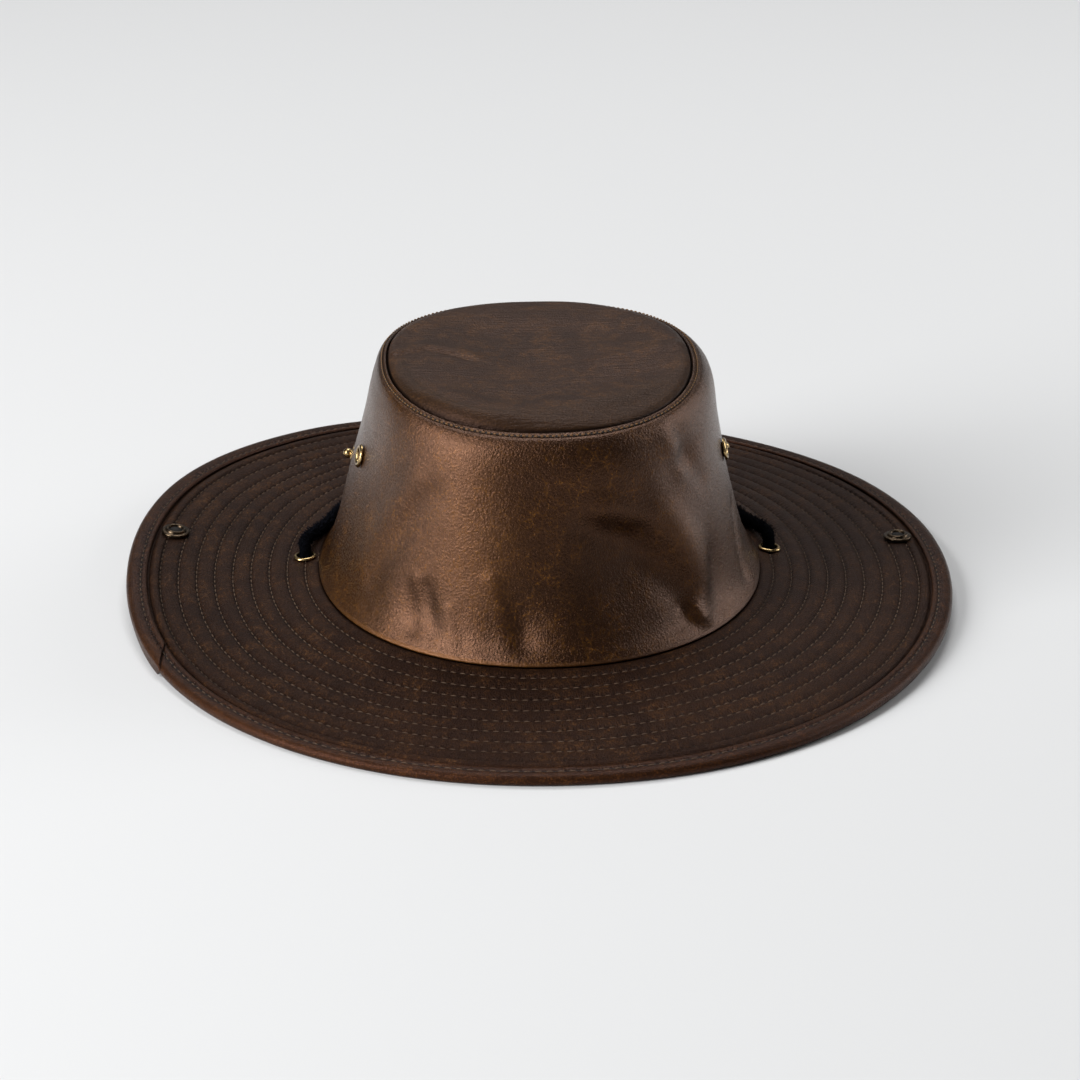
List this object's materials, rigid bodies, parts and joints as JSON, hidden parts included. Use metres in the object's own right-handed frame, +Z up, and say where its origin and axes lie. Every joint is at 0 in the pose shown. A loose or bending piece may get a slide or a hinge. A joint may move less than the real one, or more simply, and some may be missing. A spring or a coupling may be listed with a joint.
{
  "type": "bush hat",
  "caption": "Wide-brimmed bush hat with an oval crown, a stitched brim with a bound edge, snaps that hold the brim up, and a chin cord.",
  "frame": {"origin": "on the surface that the hat rests on, below the middle of the brim", "axes": "+Z up, the front of the hat faces -Y, +X is the right side as the picture shows it"},
  "size_m": [0.3441, 0.374, 0.1022],
  "materials": {
    "tip_leather": "dark brown leather, smooth, faintly worn",
    "crown_leather": "distressed brown leather, soft sheen with tan crackle",
    "brim_leather": "dark brown leather, quilted in rings, matt",
    "binding_leather": "brown leather tape with lighter worn edges",
    "antique_brass": "antique brass, darkened",
    "bright_brass": "bright brass",
    "black_cord": "black braided cord, slightly fuzzy"
  },
  "bodies": {
    "root": {"crown_tip": "tip_leather", "crown_side": "crown_leather", "brim": "brim_leather", "brim_binding": "binding_leather", "snap_socket_left": "antique_brass", "snap_socket_right": "antique_brass", "snap_cap_left": "antique_brass", "snap_cap_right": "antique_brass", "snap_stud_left": "bright_brass", "snap_stud_right": "bright_brass", "snap_post_left": "antique_brass", "snap_post_right": "antique_brass", "vent_eyelet_left": "bright_brass", "vent_eyelet_right": "bright_brass", "cord_eyelet_left": "bright_brass", "cord_eyelet_right": "bright_brass", "chin_cord": "black_cord", "cord_knot": "black_cord"}
  },
  "joints": []
}
